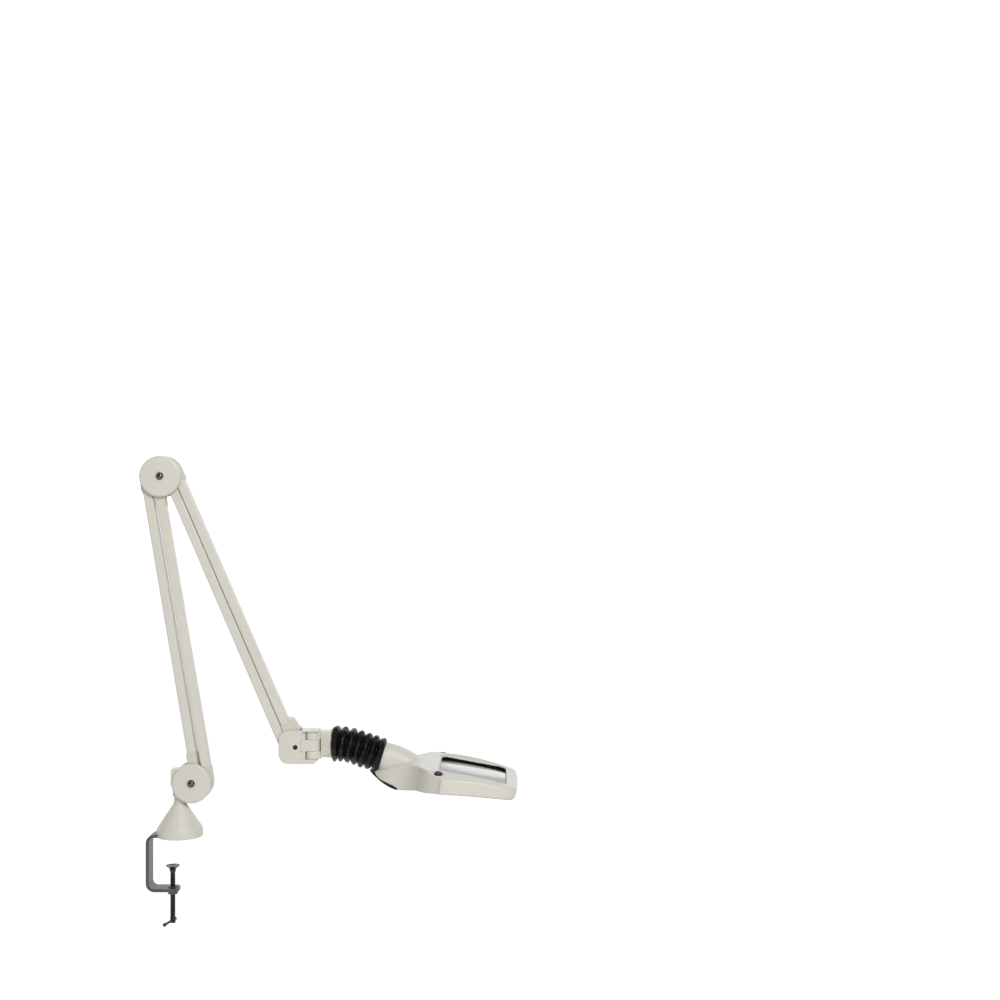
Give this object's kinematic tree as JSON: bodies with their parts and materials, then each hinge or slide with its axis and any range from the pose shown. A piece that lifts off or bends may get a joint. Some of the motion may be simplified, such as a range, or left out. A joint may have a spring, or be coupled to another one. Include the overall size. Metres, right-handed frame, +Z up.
{
  "type": "magnifier lamp",
  "caption": "Clamp-on magnifier lamp with a wide white head, a rectangular lens, two push buttons, black bellows and two parallel-link arms on a swivel.",
  "frame": {"origin": "on the swivel axis, at the underside of the clamp's upper jaw, where it rests on the desk", "axes": "+X from the clamp's back towards the head, +Y to the far side of the arms, +Z up along the swivel axis"},
  "size_m": [0.5931, 0.2124, 0.7349],
  "materials": {
    "white_shell": "moulded, satin",
    "white_enamel": "stoved enamel, satin",
    "clamp_steel": "dark grey, semi-gloss",
    "black_steel": "blackened, semi-gloss",
    "chrome_steel": "polished",
    "bright_steel": "zinc plated, domed",
    "spring_steel": "drawn wire",
    "nylon": "moulded",
    "black_rubber": "moulded, dull",
    "dark_plastic": "fine moulded grain",
    "lens_glass": "polished clear",
    "opal_plastic": "frosted opal",
    "board": "white solder mask"
  },
  "bodies": {
    "clamp": {"clamp_frame": "clamp_steel", "threaded_boss": "black_steel", "swivel_socket": "clamp_steel", "socket_screws": "black_steel", "swivel_bush": "dark_plastic", "cone_cover": "white_shell"},
    "clamp_pad": {"clamp_pad": "black_steel"},
    "clamp_spindle": {"clamp_spindle": "black_steel", "tommy_bar": "black_steel"},
    "base_swivel": {"swivel_stem": "chrome_steel", "stem_collar": "chrome_steel", "base_hub": "white_enamel", "base_disc_front": "white_shell", "base_disc_rear": "white_shell", "base_pins": "bright_steel", "base_screw": "bright_steel", "base_nut": "bright_steel"},
    "lower_outer": {"lower_outer_tube": "white_enamel", "lower_outer_fittings": "white_enamel", "lower_outer_bushes": "nylon", "lower_spring": "spring_steel"},
    "lower_inner": {"lower_inner_tube": "white_enamel", "lower_inner_fittings": "white_enamel", "lower_inner_bushes": "nylon"},
    "knuckle": {"knuckle_hub": "white_enamel", "knuckle_disc_front": "white_shell", "knuckle_disc_rear": "white_shell", "knuckle_pins": "bright_steel", "knuckle_screw": "bright_steel", "knuckle_nut": "bright_steel"},
    "upper_outer": {"upper_outer_tube": "white_enamel", "upper_outer_fittings": "white_enamel", "upper_outer_bushes": "nylon", "upper_spring": "spring_steel"},
    "upper_inner": {"upper_inner_tube": "white_enamel", "upper_inner_fittings": "white_enamel", "upper_inner_bushes": "nylon"},
    "head_bracket": {"bracket_frame": "white_enamel", "bracket_pins": "bright_steel", "bracket_cover_front": "white_shell", "bracket_cover_rear": "white_shell", "bracket_screw": "bright_steel", "hinge_pin": "bright_steel"},
    "head_yaw": {"yaw_collar": "white_enamel", "tilt_pin": "bright_steel", "bellows": "black_rubber"},
    "head": {"tilt_arm": "clamp_steel", "head_housing": "white_shell", "head_underside": "dark_plastic", "lens": "lens_glass", "lens_frame": "dark_plastic", "lens_gasket": "black_rubber", "light_boards": "board", "diffusers": "opal_plastic", "driver_board": "board", "housing_screws": "bright_steel", "switches": "dark_plastic"},
    "button_left": {"button_left": "dark_plastic"},
    "button_right": {"button_right": "dark_plastic"}
  },
  "joints": [
    {"name": "clamp_slide", "type": "slide", "parent": "clamp", "child": "clamp_pad", "axis": [0, 0, 1], "range_m": [-0.02, 0.036]},
    {"name": "clamp_screw", "type": "hinge", "parent": "clamp_pad", "child": "clamp_spindle", "pos_m": [-0.0112, 0, -0.0563], "axis": [0, 0, 1], "range_deg": [-3610, 6490]},
    {"name": "base_turn", "type": "hinge", "parent": "clamp", "child": "base_swivel", "pos_m": [0, 0, 0.052], "axis": [0, 0, 1], "continuous": true},
    {"name": "lower_arm", "type": "hinge", "parent": "base_swivel", "child": "lower_outer", "pos_m": [0.02336, 0, 0.10982], "axis": [0, -1, 0], "range_deg": [-81, 6.4]},
    {"name": "lower_arm_inner", "type": "hinge", "parent": "base_swivel", "child": "lower_inner", "pos_m": [0.04542, 0, 0.08776], "axis": [0, -1, 0], "range_deg": [-81, 6.4]},
    {"name": "knuckle_level", "type": "hinge", "parent": "lower_outer", "child": "knuckle", "pos_m": [-0.05336, 0, 0.56338], "axis": [0, -1, 0], "range_deg": [-6.4, 81]},
    {"name": "upper_arm", "type": "hinge", "parent": "knuckle", "child": "upper_outer", "pos_m": [-0.00751, 0, 0.57961], "axis": [0, -1, 0], "range_deg": [-0.5, 121.5]},
    {"name": "upper_arm_inner", "type": "hinge", "parent": "knuckle", "child": "upper_inner", "pos_m": [-0.01077, 0, 0.54858], "axis": [0, -1, 0], "range_deg": [-0.5, 121.5]},
    {"name": "bracket_level", "type": "hinge", "parent": "upper_outer", "child": "head_bracket", "pos_m": [0.17518, 0, 0.15744], "axis": [0, -1, 0], "range_deg": [-121.5, 0.5]},
    {"name": "head_turn", "type": "hinge", "parent": "head_bracket", "child": "head_yaw", "pos_m": [0.20954, 0, 0.14193], "axis": [0, 0, 1], "range_deg": [-88, 88]},
    {"name": "head_tilt", "type": "hinge", "parent": "head_yaw", "child": "head", "pos_m": [0.25814, 0, 0.14593], "axis": [0, -1, 0], "range_deg": [-78, 100], "deforming": ["bellows"]},
    {"name": "push_left", "type": "slide", "parent": "head", "child": "button_left", "axis": [-0.0914, -0.308, -0.947], "range_m": [0, 0.0008], "stiffness_N_per_m": 900},
    {"name": "push_right", "type": "slide", "parent": "head", "child": "button_right", "axis": [-0.0914, 0.308, -0.947], "range_m": [0, 0.0008], "stiffness_N_per_m": 900}
  ],
  "couplings": [
    {"joint": "clamp_screw", "follows": "clamp_slide", "rad_per_m": 3141.6},
    {"joint": "lower_arm_inner", "follows": "lower_arm", "ratio": 1},
    {"joint": "knuckle_level", "follows": "lower_arm", "ratio": -1},
    {"joint": "upper_arm_inner", "follows": "upper_arm", "ratio": 1},
    {"joint": "bracket_level", "follows": "upper_arm", "ratio": -1}
  ]
}
